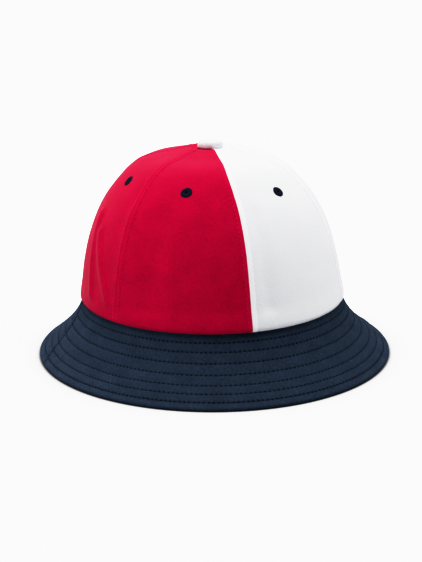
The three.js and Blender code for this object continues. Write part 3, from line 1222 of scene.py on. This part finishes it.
@dataclass(frozen=True)
class Eyelet:
    """An embroidered vent hole: satin stitches laid round a small hole.

    Attributes:
        gore: The gore that it sits in.
        diameter: Outer diameter, in millimetres.
        hole: Diameter of the hole.
        rise: How far the stitches stand out of the cloth.
        threads: How many stitches lie round the hole.
        thread_relief: Height from the valleys between the stitches to their backs.
        relief_from: Shares of the radius between which that relief sets in.
        uneven: How ragged the stitches end.
    """

    gore: CrownGore
    diameter: float = 7.6
    hole: float = 1.1
    rise: float = 0.42
    threads: int = 44
    thread_relief: float = 0.12
    relief_from: tuple[float, float] = (0.2, 0.6)
    uneven: float = 0.3

    def section(self) -> list[tuple[float, float]]:
        """The ring's section through the cloth, from its inner side round to it again."""
        inner, outer = self.hole / 2, self.diameter / 2
        back = -FORM.crown_cloth - 0.1
        middle = (inner + outer) / 2
        behind = [
            (inner, back),
            (inner + 0.5, back - 0.45),
            (middle, back - 0.55),
            (outer - 0.5, back - 0.35),
            (outer - 0.1, back),
            (outer - 1.0, back + 0.2),
        ]
        before = [
            (outer - 1.0, -0.3),
            (outer, -0.15),
            (outer + 0.02, 0.08),
            (outer - 0.35, 0.3),
            (outer - 1.0, self.rise),
            (middle, self.rise + 0.05),
            (inner + 0.7, self.rise - 0.08),
            (inner + 0.25, 0.15),
            (inner, -0.2),
        ]
        return behind + before

    def build(self) -> bpy.types.Object:
        """Spins the section into a ring and lays its threads.

        Returns:
            The eyelet's piece.
        """
        mesh = spun(self.section(), 2 * self.threads, closed=True)
        bmesh.ops.recalc_face_normals(mesh, faces=mesh.faces[:])
        mesh.normal_update()
        seed = Vector((self.gore.middle, 7.0, 1.0))
        moves = []
        for vertex in mesh.verts:
            turn = math.atan2(vertex.co.y, vertex.co.x)
            thread = round(turn / math.tau * 2 * self.threads)
            away = Vector((vertex.co.x, vertex.co.y, 0.0)).length / (self.diameter / 2 * MM)
            relief = self.thread_relief * (1 if thread % 2 else -1) * smoothstep(away, *self.relief_from)
            ragged = noise.noise(seed + Vector((math.cos(turn), math.sin(turn), 0.0)) * 1.1)
            ragged += 0.6 * noise.noise(seed + Vector((thread * 0.7, 0.0, 5.0)))
            outwards = vertex.co.normalized() * ragged * self.uneven * away * MM
            moves.append(vertex.normal * relief * 0.5 * MM + outwards)
        for vertex, move in zip(mesh.verts, moves, strict=True):
            vertex.co += move
        mesh.transform(self.gore.eyelet_frame)
        name = self.gore.name
        return finished_piece(f"{name}_eyelet", mesh, NAVY_EMBROIDERY, f"eyelet_{name}")


@dataclass(frozen=True)
class CoveredButton:
    """The top button: a low drum covered in white cloth, on a short shank.

    Attributes:
        diameter: Diameter of the drum, in millimetres.
        height: How far its top stands above the crown's tip.
        droop: How far its rim reaches down below the crown's smooth form there.
        shank_diameter: Diameter of the shank.
        shank_reach: How far the shank reaches down into the crown.
        tilt: Degrees that the button leans.
        gathers: How many gathers the cloth has at the lower edge.
        gather_depth: Depth of the gathers.
        gathered_down: Millimetres below the top between which the gathers set in.
        gathered_out: Shares of the radius between which they set in.
        uneven: How far from round the drum is.
        steps: Steps of the full turn.
    """

    diameter: float = 17.0
    height: float = 3.5
    droop: float = 1.9
    shank_diameter: float = 4.0
    shank_reach: float = 2.5
    tilt: float = 2.0
    gathers: int = 22
    gather_depth: float = 0.1
    gathered_down: tuple[float, float] = (1.0, 4.5)
    gathered_out: tuple[float, float] = (0.6, 0.95)
    uneven: float = 0.12
    steps: int = 132

    def section(self) -> list[tuple[float, float]]:
        """The button's section, from the bottom of its shank to the middle of its top."""
        radius, tip = self.diameter / 2, FORM.tip_height
        reached = FORM.crown_curve.where_reach_falls_to(radius)
        low = FORM.crown_curve.at(reached).height - self.droop
        top = tip + self.height
        shank = self.shank_diameter / 2
        below = [
            (0.0, tip - self.shank_reach),
            (shank, tip - self.shank_reach),
            (shank, tip + 0.1),
            (radius * 0.6, low + 1.6),
            (radius - 1.2, low + 0.35),
            (radius - 0.45, low + 0.3),
            (radius - 0.08, low + 0.85),
            (radius, low + 1.9),
        ]
        above = [
            (radius - 0.02, top - 2.7),
            (radius - 0.4, top - 1.7),
            (radius - 1.2, top - 0.85),
            (radius - 2.6, top - 0.34),
            (radius * 0.5, top - 0.12),
            (radius * 0.25, top - 0.03),
            (0.0, top),
        ]
        return below + above

    def build(self) -> bpy.types.Object:
        """Spins the drum, gathers its cloth underneath and tilts it a little.

        Returns:
            The button's piece.
        """
        mesh = spun(self.section(), self.steps, closed=False)
        bmesh.ops.remove_doubles(mesh, verts=mesh.verts[:], dist=0.002 * MM)
        bmesh.ops.recalc_face_normals(mesh, faces=mesh.faces[:])
        bmesh.ops.subdivide_edges(mesh, edges=mesh.edges[:], cuts=1, smooth=1.0, use_grid_fill=True)
        top = (FORM.tip_height + self.height) * MM
        radius = self.diameter / 2 * MM
        for vertex in mesh.verts:
            turn = math.atan2(vertex.co.y, vertex.co.x)
            away = Vector((vertex.co.x, vertex.co.y, 0.0)).length / radius
            down = (top - vertex.co.z) / MM
            below = smoothstep(down, *self.gathered_down) * smoothstep(away, *self.gathered_out)
            uneven = noise.noise(Vector((math.cos(turn), math.sin(turn), 0.3)) * 2.2)
            pulled = math.sin(self.gathers * turn + 3 * uneven) * self.gather_depth * below
            widened = 1 + (pulled + self.uneven * uneven * away) * MM / radius
            vertex.co.x *= widened
            vertex.co.y *= widened
        chart = mesh.loops.layers.uv.new(WEAVE_MAP)
        stitches = mesh.loops.layers.uv.new(STITCH_MAP)
        for face in mesh.faces:
            for loop in face.loops:
                flat = Vector((loop.vert.co.x, loop.vert.co.y))
                down = (top - loop.vert.co.z) / MM
                loop[chart].uv = flat / MM * (1 + down / (flat.length / MM + 1))
                loop[stitches].uv = NO_STITCHES
        centre = Vector((FORM.middle(FORM.tip_radius / FORM.mean_radius) * MM, 0.0, top))
        lean = Matrix.Rotation(math.radians(self.tilt), 4, "Y")
        mesh.transform(Matrix.Translation(centre) @ lean @ Matrix.Translation((0.0, 0.0, -top)))
        return finished_piece("covered_button", mesh, BUTTON_CLOTH, "top_button")


@dataclass(frozen=True)
class Brim:
    """The two-ply brim, with rings of stitching and a side seam at each side.

    Attributes:
        rows: Millimetres down from the brim seam to each ring of stitches.
        row_dip: Depth of a ring's groove, and row_width its half width.
        puff: How far the cloth stands out between two rings.
        rim_puff: The same between the last ring and the rim, below 0 for a hollow.
        rim_bead: How far the rim's edge stands out, and rim_bead_width its half width.
        top_tuck: How far the top edge is drawn in, and top_tuck_width how far down.
        seam_turn: Degrees that the side seams turn from the brim seam to the rim.
        seam_gap: Gap between the halves at a side seam.
        seam_dip: Depth of the seam's line, and seam_dip_width its half width.
        seam_row: Millimetres from a side seam to the row beside it.
        seam_row_share: Depth of that row's groove, as a share of a ring's.
        seam_puff: How far the cloth stands out between them.
        rim_gap: Gap between the two plies at the rim.
        wave: How uneven the brim is, and wave_size the size of its waves.
        pucker: How uneven the cloth is between the stitches.
        held_top: Millimetres from the brim seam over which it holds the cloth flat.
        held_rim: The same from the rim.
        columns: Cells of a half across.
        row_cells: Length of a cell down the brim.
    """

    rows: tuple[float, ...] = (6.3, 12.2, 19.3, 26.9, 34.0, 40.0, 45.8)
    row_dip: float = 0.19
    row_width: float = 0.65
    puff: float = 0.24
    rim_puff: float = -0.3
    rim_bead: float = 0.12
    rim_bead_width: float = 1.7
    top_tuck: float = 1.3
    top_tuck_width: float = 3.5
    seam_turn: float = 10.0
    seam_gap: float = 0.02
    seam_dip: float = 0.15
    seam_dip_width: float = 0.4
    seam_row: float = 3.4
    seam_row_share: float = 0.6
    seam_puff: float = 0.45
    rim_gap: float = 0.06
    wave: float = 0.4
    wave_size: float = 30.0
    pucker: float = 0.12
    held_top: float = 6.0
    held_rim: float = 3.0
    columns: int = 230
    row_cells: float = 0.72

    @cached_property
    def length(self) -> float:
        """Length of the brim's upper face, from the brim seam to the rim."""
        return FORM.brim_curve.length

    @property
    def rim_round(self) -> float:
        """Length of a ply's half of the rounded rim."""
        half = FORM.brim_thickness / 2
        return half * math.acos(self.rim_gap / 2 / half)

    def nearest_row(self, distance: float) -> float:
        """The stitch row nearest to a distance down the brim."""
        return min(self.rows, key=lambda row: abs(row - distance))

    def rise(self, ply: Ply, angle: float, distance: float, from_seam: float) -> float:
        """How far the cloth stands out from the brim's smooth form.

        Args:
            ply: Which ply.
            angle: Degrees round the brim.
            distance: Millimetres down from the brim seam.
            from_seam: Millimetres from the nearer side seam.

        Returns:
            Millimetres out of the cloth.
        """
        tuck = -self.top_tuck * hollow(distance, self.top_tuck_width) * ply.side
        if distance < 0:
            return tuck
        marks = (0.0, *self.rows, self.length + self.rim_round)
        span = next((pair for pair in zip(marks, marks[1:], strict=False) if distance <= pair[1]), marks[-2:])
        puff = self.rim_puff if span[0] == self.rows[-1] else self.puff
        full = puff * pillow((distance - span[0]) / (span[1] - span[0]), FULLNESS)
        groove = -self.row_dip * hollow(distance - self.nearest_row(distance), self.row_width)
        turn = math.radians(angle)
        where = Vector((math.cos(turn), math.sin(turn), distance / ROUND)) * ROUND / self.wave_size
        wave = self.wave * noise.noise(where) * ply.side
        pucker = self.pucker * noise.noise(Vector((math.cos(turn) * 30, math.sin(turn) * 30, distance / 5)))
        seam = -self.seam_dip * hollow(from_seam, self.seam_dip_width)
        seam += self.seam_puff * pillow(from_seam / self.seam_row)
        seam -= self.row_dip * self.seam_row_share * hollow(from_seam - self.seam_row, self.row_width)
        free = smoothstep(distance, 0.0, self.held_top)
        free *= 1 - smoothstep(distance, self.length - self.held_rim, self.length)
        bead = 0.0
        if ply is Ply.UPPER:
            bead = self.rim_bead * hollow(distance - self.length, self.rim_bead_width)
        return free * (full + groove + wave + pucker + seam) + tuck + bead

    def seam_angle(self, distance: float) -> float:
        """The angle of the side seam at a distance down the brim."""
        share = min(max(distance / self.length, 0.0), 1.0)
        return 90 + self.seam_turn * (1 - share * share)

    def section(self, ply: Ply, distance: float) -> tuple[float, Section]:
        """The visible face of a ply in section.

        Args:
            ply: Which ply.
            distance: Millimetres down from the brim seam, below 0 on the turned-up
                allowance and past the brim's length on the rounded rim.

        Returns:
            The share of the crown's oval, and the point with its outward direction.
        """
        curve, half = FORM.brim_curve, FORM.brim_thickness / 2
        face = curve.at(min(max(distance, 0.0), self.length))
        out = Vector((face.out_reach, face.out_height)) * -ply.side
        middle = Vector((face.reach, face.height)) + Vector((face.out_reach, face.out_height)) * half
        if distance < 0:
            return self.turned_up(middle.x + out.x * half, face.height, -distance)
        if distance > self.length:
            turn = (distance - self.length) / half
            along = Vector((-face.out_height, face.out_reach))
            out = out * math.cos(turn) + along * math.sin(turn)
        spot = middle + out * half
        return 1.0, Section(spot.x, spot.y, out.x, out.y)

    def turned_up(self, reach: float, height: float, above: float) -> tuple[float, Section]:
        """The under ply's allowance, which stands against the inside of the crown.

        Args:
            reach: Its reach at the brim seam.
            height: Its height there.
            above: Millimetres above the brim seam.

        Returns:
            The share of the crown's oval, and the point with its outward direction.
        """
        share = above / FORM.turn_up_height
        crown = FORM.crown_curve.at(FORM.turn_up_height)
        scale = 1 + (crown.reach / FORM.mean_radius - 1) * share
        inside = -(FORM.crown_cloth + FORM.clearance + FORM.brim_cloth) * crown.out_reach
        return scale, Section(reach + (inside - reach) * share, height + above, -1.0, 0.0)

    def radius(self, ply: Ply, distance: float) -> float:
        """Mean radius of a ply at a distance down the brim."""
        return FORM.mean_radius + self.section(ply, distance)[1].reach

    def point(self, ply: Ply, angle: float, distance: float, from_seam: float = FAR) -> Vector:
        """A place on a ply's visible face, in metres."""
        scale, section = self.section(ply, distance)
        rise = self.rise(ply, angle, distance, from_seam)
        height = max(section.height + rise * section.out_height, 0.0)
        return FORM.place(angle, scale, section.reach + rise * section.out_reach, height)

    @lru_cache(maxsize=32)
    def ruler(self, ply: Ply, row: float) -> Ruler:
        """The ruler of a ring of stitches, which starts and ends at the back."""
        return Ruler(lambda angle: self.point(ply, angle, row), -180.0, 180.0, STITCHING.pitch)

    def stitches_round(self, ply: Ply, row: float, angle: float) -> float:
        """Stitches of a ring up to an angle, which may be past the ring's end."""
        rounds = math.floor((angle + 180) / 360)
        ruler = self.ruler(ply, row)
        return rounds * ruler.count + ruler.stitches_at(angle - 360 * rounds)

    @lru_cache(maxsize=8)
    def seam_ruler(self, ply: Ply) -> Ruler:
        """The ruler of the row beside a side seam."""
        end = self.length - 2.0
        return Ruler(lambda distance: self.point(ply, 90.0, distance), 4.0, end, STITCHING.pitch)

    def ring_frames(self, ply: Ply) -> list[Matrix]:
        """Places of all the stitches of the rings on a ply."""
        frames = []
        for row in self.rows:
            ruler = self.ruler(ply, row)

            def point(angle: float, beside: float, row: float = row) -> Vector:
                """A place on the ring, or a little beside it."""
                return self.point(ply, angle, row + beside)

            for number in range(ruler.count):
                aside = FORM.place(ruler.way_of(number + 0.5), 1.0, 0.0, 0.0) * 8
                outside = (Vector((0, 0, 1)) + aside) * ply.side
                frames.append(STITCHING.frame_at(point, ruler, number, outside))
        for way_round in (1, -1):
            frames += self.seam_frames(ply, way_round)
        return frames

    def seam_frames(self, ply: Ply, way_round: int) -> list[Matrix]:
        """Places of the stitches in front of a side seam.

        Args:
            ply: Which ply.
            way_round: 1 for the wearer's right side, -1 for the left.

        Returns:
            Place, turn and size of each stitch.
        """
        ruler = self.seam_ruler(ply)

        def point(distance: float, beside: float) -> Vector:
            """A place on the row, or a little beside it."""
            away = self.seam_row + beside
            angle = self.seam_angle(distance) - math.degrees(away / self.radius(ply, distance))
            return self.point(ply, way_round * angle, distance, away)

        flank = Vector((-way_round, 0.0, 0.6)) * ply.side
        return [STITCHING.frame_at(point, ruler, number, flank) for number in range(ruler.count)]

    def build(self) -> None:
        """Builds both halves of both plies, and their stitching."""
        for ply in Ply:
            for front in (True, False):
                BrimHalf(self, ply, front).build()
            stitches = STITCHING.sew(self.ring_frames(ply))
            finished_piece(f"brim_{ply.value}_stitching", stitches, NAVY_SEWING)


@dataclass(frozen=True)
class BrimHalf:
    """Half of a ply of the brim, from one side seam to the other."""

    brim: Brim
    ply: Ply
    front: bool

    @property
    def middle(self) -> int:
        """Angle of the half's middle."""
        return 0 if self.front else 180

    @property
    def top(self) -> float:
        """Where the half starts: at the brim seam, or at the top of its allowance."""
        return 0.0 if self.ply is Ply.UPPER else -FORM.turn_up_height

    @property
    def end(self) -> float:
        """Where it ends, on the rounded rim."""
        return self.brim.length + self.brim.rim_round

    def distance(self, spot: Spot) -> float:
        """Millimetres down from the brim seam."""
        return self.top + spot.along * (self.end - self.top)

    def half_sweep(self, distance: float) -> float:
        """Degrees from the half's middle to its side seam."""
        turned = self.brim.seam_angle(distance)
        sweep = turned if self.front else 180 - turned
        return sweep - math.degrees(self.brim.seam_gap / 2 / self.brim.radius(self.ply, distance))

    def angle(self, spot: Spot) -> float:
        """Degrees round the brim, with closer columns near the side seams."""
        share = spot.across - 0.9 * math.sin(math.tau * spot.across) / math.tau
        return self.middle + self.half_sweep(self.distance(spot)) * (2 * share - 1)

    def from_seam(self, spot: Spot) -> float:
        """Millimetres to the nearer side seam."""
        distance = self.distance(spot)
        left = self.half_sweep(distance) - abs(self.angle(spot) - self.middle)
        return math.radians(left) * self.brim.radius(self.ply, distance)

    def place(self, spot: Spot) -> Vector:
        """The place of a spot, in metres."""
        return self.brim.point(self.ply, self.angle(spot), self.distance(spot), self.from_seam(spot))

    def weave(self, spot: Spot, _zone: None) -> tuple[float, float]:
        """The cloth's grain, in millimetres, which follows the brim round."""
        return math.radians(self.angle(spot)) * (FORM.mean_radius + 12), self.distance(spot)

    def row_zone(self, spot: Spot) -> float | None:
        """The ring of stitches nearest to a spot, or None for the row beside the side seam."""
        row = self.brim.nearest_row(self.distance(spot))
        beside = abs(self.from_seam(spot) - self.brim.seam_row) < abs(self.distance(spot) - row)
        return None if beside and self.front else row

    def stitch_chart(self, spot: Spot, row: float | None) -> tuple[float, float]:
        """Stitches along a row, and the distance from that row.

        Args:
            spot: The spot to chart.
            row: The ring of stitches, or None for the row beside the side seam.

        Returns:
            Stitches along the row, and the distance from it in stitches.
        """
        distance = self.distance(spot)
        if row is None:
            beside = self.from_seam(spot) - self.brim.seam_row
            return self.brim.seam_ruler(self.ply).stitches_at(distance), beside / STITCHING.pitch
        return self.brim.stitches_round(self.ply, row, self.angle(spot)), (distance - row) / STITCHING.pitch

    def build(self) -> bpy.types.Object:
        """Builds the half.

        Returns:
            The half's piece.
        """
        rows = round((self.end - self.top) / self.brim.row_cells)
        cloth = ClothFace(self.brim.columns, rows)
        ahead = -1 if self.front else 1
        cloth.shape(self.place, outside=Vector((0.0, ahead, 0.4)) * self.ply.side)
        cloth.chart(WEAVE_MAP, self.weave)
        cloth.chart(STITCH_MAP, self.stitch_chart, zone=self.row_zone)
        node = f"brim_{self.ply.value}_{'front' if self.front else 'back'}"
        piece = finished_piece(f"{node}_cloth", cloth.mesh, NAVY_CLOTH, node)
        give_thickness(piece, FORM.brim_cloth)
        return piece


# Metres from the floor to the hat's middle, where the lights aim
HAT_MIDDLE = 0.07
PURE_WHITE = (1.0, 1.0, 1.0, 1.0)
BLACK = (0.0, 0.0, 0.0, 1.0)


class Softbox(NamedTuple):
    """A square soft light: where it stands and its side in metres, its power in watts."""

    name: str
    stand: Triple
    size: float
    power: float

    def build(self) -> None:
        """Stands the light so that it looks at the hat."""
        data = bpy.data.lights.new(self.name, "AREA")
        data.shape = "SQUARE"
        data.size = self.size
        data.energy = self.power
        aim = Vector((0.0, 0.0, HAT_MIDDLE)) - Vector(self.stand)
        turned = aim.to_track_quat("-Z", "Y").to_matrix().to_4x4()
        placed(self.name, data).matrix_world = Matrix.Translation(self.stand) @ turned


@dataclass(frozen=True)
class Studio:
    """The camera, the lights, the surround and the pale floor.

    Attributes:
        azimuth: Where the camera stands, in degrees from the front of the hat.
        elevation: How far it looks down.
        roll: How far the picture is turned.
        stand: Where the camera stands, in millimetres.
        lens: Focal length on a sensor as wide as the picture's long side.
        sensor: Size of that sensor.
        floor_size: Side of the floor, in metres.
        floor_gap: Millimetres that the floor lies below the resting edge.
        paper: How bright the camera sees the floor and the surround.
        paper_light: How much light the floor casts.
        contact_shade: How quickly the painted contact shadow darkens the floor's glow towards the rim.
        contact_reach: How far from the rim that shade reaches, in metres.
        surround_light: How much light the surround casts.
        contrast: How steeply the film answers below its shoulder.
        shoulder: Light above which the film holds back.
        ceiling: The brightest that the film shows.
        film_white: The most light that the film tells apart.
        film_marks: Amounts of light at which the film's curve is set.
        softboxes: The lights.
    """

    azimuth: float = -14.199
    elevation: float = 14.762
    roll: float = -1.707
    stand: Triple = (-253.68, -1002.59, 319.54)
    lens: float = 99.5686
    sensor: float = 36.0
    floor_size: float = 24.0
    floor_gap: float = 0.2
    paper: float = 1.76
    paper_light: float = 1.24
    contact_shade: float = 3.0
    contact_reach: float = 0.028
    surround_light: float = 0.056
    contrast: float = 1.4
    shoulder: float = 0.68
    ceiling: float = 0.972
    film_white: float = 2.0
    film_marks: tuple[float, ...] = (
        0.01, 0.025, 0.05, 0.09, 0.15, 0.24, 0.36, 0.5, 0.6,
        0.68, 0.76, 0.85, 0.95, 1.05, 1.2, 1.35, 1.5, 1.75,
    )
    softboxes: tuple[Softbox, ...] = (
        Softbox("top_softbox", (-0.15, -0.1, 1.5), 1.6, 34.9),
        Softbox("back_softbox", (0.0, 1.3, 1.1), 1.2, 20.5),
        Softbox("left_softbox", (-1.5, 0.3, 0.05), 0.9, 12.5),
        Softbox("right_softbox", (1.5, 0.1, 0.6), 1.0, 9.5),
    )

    def build(self) -> None:
        """Sets up the studio."""
        self.add_camera()
        self.add_surround()
        self.add_floor()
        for softbox in self.softboxes:
            softbox.build()
        self.load_film()

    def load_film(self) -> None:
        """Gives the picture a film's contrast and its soft shoulder, which keeps whites shaded."""
        view = bpy.context.scene.view_settings
        view.view_transform = "Standard"
        view.look = "None"
        view.use_curve_mapping = True
        film = view.curve_mapping
        film.white_level = (self.film_white,) * 3
        film.extend = "HORIZONTAL"
        curve = film.curves[3]
        curve.points[0].location = (0.0, 0.0)
        curve.points[1].location = (1.0, self.exposed(self.film_white))
        for light in self.film_marks:
            curve.points.new(light / self.film_white, self.exposed(light))
        film.update()

    def exposed(self, light: float) -> float:
        """How bright the film shows an amount of light."""
        if light <= self.shoulder:
            return self.shoulder * (light / self.shoulder) ** self.contrast
        room = self.ceiling - self.shoulder
        return self.shoulder + room * (1 - math.exp(-(light - self.shoulder) / room))

    def add_camera(self) -> None:
        """Stands the camera where the photograph was taken from."""
        a, e = math.radians(self.azimuth), math.radians(self.elevation)
        back = Vector((math.sin(a) * math.cos(e), -math.cos(a) * math.cos(e), math.sin(e)))
        level = Vector((math.cos(a), math.sin(a), 0.0))
        rise = back.cross(level)
        turned = Matrix((level, rise, back)).transposed() @ Matrix.Rotation(math.radians(self.roll), 3, "Z")
        data = bpy.data.cameras.new("photo_camera")
        data.sensor_width = self.sensor
        data.lens = self.lens
        camera = placed("photo_camera", data)
        camera.matrix_world = Matrix.Translation(Vector(self.stand) * MM) @ turned.to_4x4()
        bpy.context.scene.camera = camera

    def seen_or_cast(self, wiring: Wiring, cast: float) -> Socket:
        """Paper white where the camera looks straight at it, and a set light elsewhere."""
        seen = wiring.node("ShaderNodeLightPath").outputs["Is Camera Ray"]
        return wiring.math("MULTIPLY_ADD", seen, self.paper - cast, cast)

    def add_surround(self) -> None:
        """A plain surround, which the camera sees as white as the paper."""
        world = bpy.data.worlds.new("studio_surround")
        bpy.context.scene.world = world
        world.use_nodes = True
        wiring = Wiring(world.node_tree)
        light = self.seen_or_cast(wiring, self.surround_light)
        wiring.fill(world.node_tree.nodes["Background"], Color=PURE_WHITE, Strength=light)

    def add_floor(self) -> None:
        """A sheet of white paper that glows evenly, with a contact shadow painted into its glow close to what
        stands on it.
        """
        mesh = bmesh.new()
        bmesh.ops.create_grid(mesh, x_segments=1, y_segments=1, size=self.floor_size / 2)
        data = settled("paper_floor", mesh)
        data.transform(Matrix.Translation((0.0, 0.0, -self.floor_gap * MM)))
        floor = placed("paper_floor", data)
        paper = bpy.data.materials.new("white_paper")
        paper.use_nodes = True
        wiring = Wiring(paper.node_tree)
        # Painted contact shadow: ambient occlusion dims the floor's glow near the hat.
        open_sky = wiring.node("ShaderNodeAmbientOcclusion", samples=16)
        open_sky.inputs["Distance"].default_value = self.contact_reach
        shade = wiring.math("POWER", open_sky.outputs["AO"], self.contact_shade)
        wiring.fill(
            paper.node_tree.nodes["Principled BSDF"],
            Base_Color=BLACK,
            Roughness=1.0,
            Specular_IOR_Level=0.0,
            Emission_Color=PURE_WHITE,
            Emission_Strength=wiring.math("MULTIPLY", self.seen_or_cast(wiring, self.paper_light), shade),
        )
        data.materials.append(paper)
        floor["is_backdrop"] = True


@dataclass(frozen=True)
class BucketHat:
    """The whole hat: six gores with their eyelets, the top button and the brim."""

    brim: Brim = field(default_factory=Brim)
    button: CoveredButton = field(default_factory=CoveredButton)
    gores: tuple[CrownGore, ...] = (
        CrownGore("red_front", 30, RED_CLOTH, RED_THREAD, 0.0, 0.658),
        CrownGore("red_side", 90, RED_CLOTH, RED_THREAD, -8.5, 0.646),
        CrownGore("red_back", 150, RED_CLOTH, RED_THREAD, 0.0, 0.650),
        CrownGore("white_front", -30, WHITE_CLOTH, WHITE_THREAD, 0.0, 0.694, high_row=4.0),
        CrownGore("white_side", -90, WHITE_CLOTH, WHITE_THREAD, 0.0, 0.660),
        CrownGore("white_back", -150, WHITE_CLOTH, WHITE_THREAD, 0.0, 0.660),
    )

    def build(self) -> None:
        """Builds the crown from the seam up, then the button and the brim."""
        for gore in self.gores:
            gore.build()
            Eyelet(gore).build()
        self.button.build()
        self.brim.build()


def main() -> None:
    """Builds the studio and the hat."""
    logging.basicConfig(level=logging.INFO, format="%(name)s %(message)s")
    Studio().build()
    BucketHat().build()
    visual_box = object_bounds()
    boxes = {"cad": cad_box, "visual": visual_box}
    {name: [list(corner) for corner in box] for name, box in boxes.items()}


if __name__ == "__main__":
    main()
